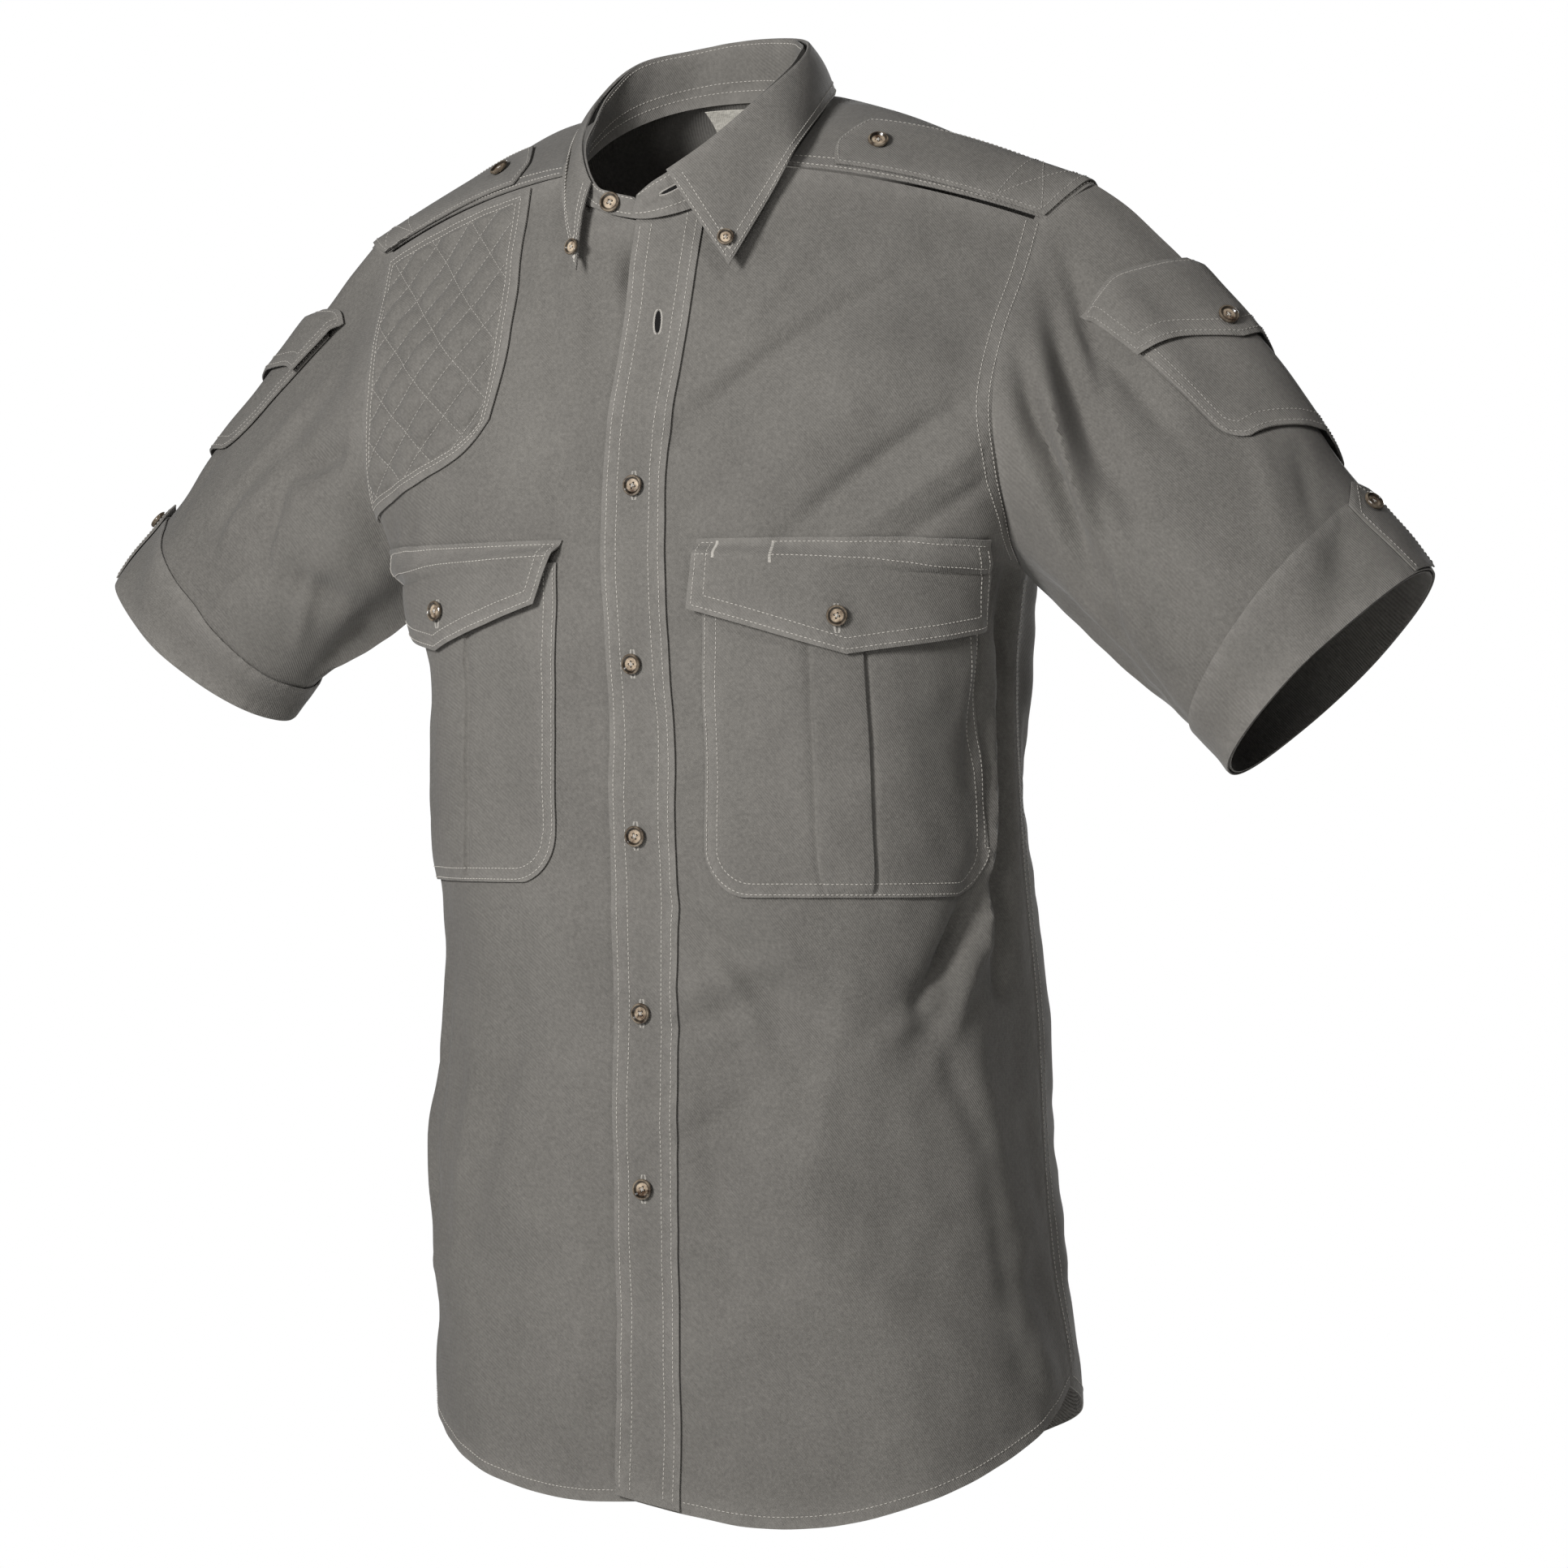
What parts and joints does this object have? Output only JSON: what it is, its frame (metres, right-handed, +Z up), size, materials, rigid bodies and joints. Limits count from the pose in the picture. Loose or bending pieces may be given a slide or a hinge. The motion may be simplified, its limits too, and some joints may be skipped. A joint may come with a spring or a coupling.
{
  "type": "safari shirt",
  "caption": "Short-sleeved safari shirt, buttoned down the front, with button-down collar, epaulettes, flap pockets, a quilted shoulder patch and turned cuffs.",
  "frame": {"origin": "midway between the shoulders at the foot of the neck, where the wearer carries the shirt", "axes": "+Z up along the wearer, -Y the way the wearer faces, +X the wearer's left"},
  "size_m": [0.806, 0.2522, 0.8212],
  "materials": {
    "shirt_cloth": "matte cotton twill, grey brown",
    "label_cloth": "woven cream tape, blank",
    "button_horn": "polished brown horn"
  },
  "bodies": {
    "root": {"back": "shirt_cloth", "chest_button_left": "button_horn", "chest_button_right": "button_horn", "chest_flap_left": "shirt_cloth", "chest_flap_right": "shirt_cloth", "chest_pocket_left": "shirt_cloth", "chest_pocket_right": "shirt_cloth", "collar_button_left": "button_horn", "collar_button_right": "button_horn", "collar_leaf": "shirt_cloth", "collar_stand": "shirt_cloth", "cuff_left": "shirt_cloth", "cuff_right": "shirt_cloth", "epaulette_button_left": "button_horn", "epaulette_button_right": "button_horn", "epaulette_left": "shirt_cloth", "epaulette_right": "shirt_cloth", "front_button_1": "button_horn", "front_button_2": "button_horn", "front_button_3": "button_horn", "front_button_4": "button_horn", "front_button_5": "button_horn", "front_button_open": "button_horn", "front_left": "shirt_cloth", "front_right": "shirt_cloth", "label": "label_cloth", "placket": "shirt_cloth", "quilted_patch": "shirt_cloth", "sleeve_button_left": "button_horn", "sleeve_button_right": "button_horn", "sleeve_flap_left": "shirt_cloth", "sleeve_flap_right": "shirt_cloth", "sleeve_left": "shirt_cloth", "sleeve_pocket_left": "shirt_cloth", "sleeve_pocket_right": "shirt_cloth", "sleeve_right": "shirt_cloth", "stand_button": "button_horn", "tab_button_left": "button_horn", "tab_button_right": "button_horn", "tab_left": "shirt_cloth", "tab_right": "shirt_cloth", "yoke": "shirt_cloth"}
  },
  "joints": []
}
